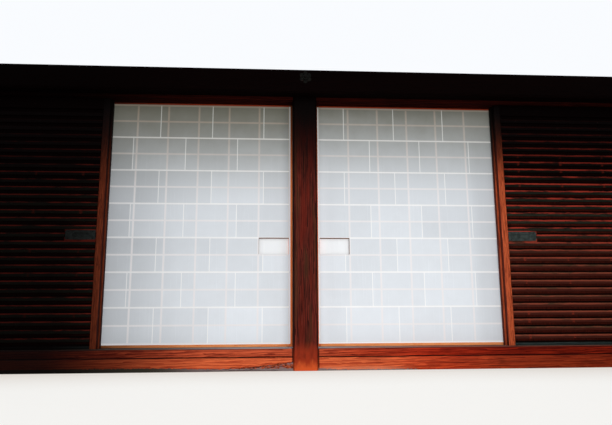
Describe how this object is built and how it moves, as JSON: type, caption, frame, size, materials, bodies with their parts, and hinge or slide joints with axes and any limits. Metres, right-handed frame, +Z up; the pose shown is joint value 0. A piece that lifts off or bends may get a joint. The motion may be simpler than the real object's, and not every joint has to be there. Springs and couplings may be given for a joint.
{
  "type": "shoji sliding screens in a post frame",
  "caption": "Paper sliding screens beside a middle post, with battened sliding doors on two more tracks, in their frame of posts, grooved sills, head rails and a face beam.",
  "frame": {"origin": "centre of the middle post's foot, on the floor", "axes": "+Z up, +X to the right along the frame seen from the paper side, which faces -Y"},
  "size_m": [6.096, 0.293, 2.17],
  "materials": {
    "frame_wood": "dark stained, hand planed",
    "sill_wood": "red brown, worn smooth",
    "screen_wood": "orange brown",
    "door_wood": "orange brown, weathered",
    "batten_wood": "dark, weathered",
    "washi": "matt handmade paper",
    "iron": "dark patinated"
  },
  "bodies": {
    "frame": {"centre_post": "frame_wood", "left_post": "frame_wood", "right_post": "frame_wood", "left_ground_sill": "sill_wood", "left_track_sill": "sill_wood", "left_head_rail": "frame_wood", "right_ground_sill": "sill_wood", "right_track_sill": "sill_wood", "right_head_rail": "frame_wood", "face_beam": "frame_wood", "nail_cover": "iron"},
    "left_screen": {"left_screen_near_stile": "screen_wood", "left_screen_far_stile": "screen_wood", "left_screen_top_rail": "screen_wood", "left_screen_bottom_rail": "screen_wood", "left_screen_upright_bars": "screen_wood", "left_screen_cross_bars": "screen_wood", "left_screen_paper": "washi", "left_screen_pull_paper": "washi"},
    "left_front_door": {"left_front_door_lead_stile": "door_wood", "left_front_door_back_stile": "door_wood", "left_front_door_top_rail": "door_wood", "left_front_door_bottom_rail": "door_wood", "left_front_door_boards": "batten_wood", "left_front_door_battens": "batten_wood", "left_front_door_pull_plate": "iron"},
    "left_middle_door": {"left_middle_door_lead_stile": "door_wood", "left_middle_door_back_stile": "door_wood", "left_middle_door_top_rail": "door_wood", "left_middle_door_bottom_rail": "door_wood", "left_middle_door_boards": "batten_wood", "left_middle_door_battens": "batten_wood"},
    "right_screen": {"right_screen_near_stile": "screen_wood", "right_screen_far_stile": "screen_wood", "right_screen_top_rail": "screen_wood", "right_screen_bottom_rail": "screen_wood", "right_screen_upright_bars": "screen_wood", "right_screen_cross_bars": "screen_wood", "right_screen_paper": "washi", "right_screen_pull_paper": "washi"},
    "right_front_door": {"right_front_door_lead_stile": "door_wood", "right_front_door_back_stile": "door_wood", "right_front_door_top_rail": "door_wood", "right_front_door_bottom_rail": "door_wood", "right_front_door_boards": "batten_wood", "right_front_door_battens": "batten_wood", "right_front_door_pull_plate": "iron"},
    "right_middle_door": {"right_middle_door_lead_stile": "door_wood", "right_middle_door_back_stile": "door_wood", "right_middle_door_top_rail": "door_wood", "right_middle_door_bottom_rail": "door_wood", "right_middle_door_boards": "batten_wood", "right_middle_door_battens": "batten_wood"}
  },
  "joints": [
    {"name": "left_screen_slide", "type": "slide", "parent": "frame", "child": "left_screen", "axis": [-1, 0, 0], "range_m": [0, 1.3642]},
    {"name": "left_front_door_slide", "type": "slide", "parent": "frame", "child": "left_front_door", "axis": [1, 0, 0], "range_m": [-0.026, 1.355]},
    {"name": "left_middle_door_slide", "type": "slide", "parent": "frame", "child": "left_middle_door", "axis": [1, 0, 0], "range_m": [-0.036, 1.345]},
    {"name": "right_screen_slide", "type": "slide", "parent": "frame", "child": "right_screen", "axis": [1, 0, 0], "range_m": [0, 1.3642]},
    {"name": "right_front_door_slide", "type": "slide", "parent": "frame", "child": "right_front_door", "axis": [-1, 0, 0], "range_m": [0, 1.381]},
    {"name": "right_middle_door_slide", "type": "slide", "parent": "frame", "child": "right_middle_door", "axis": [-1, 0, 0], "range_m": [-0.01, 1.371]}
  ]
}
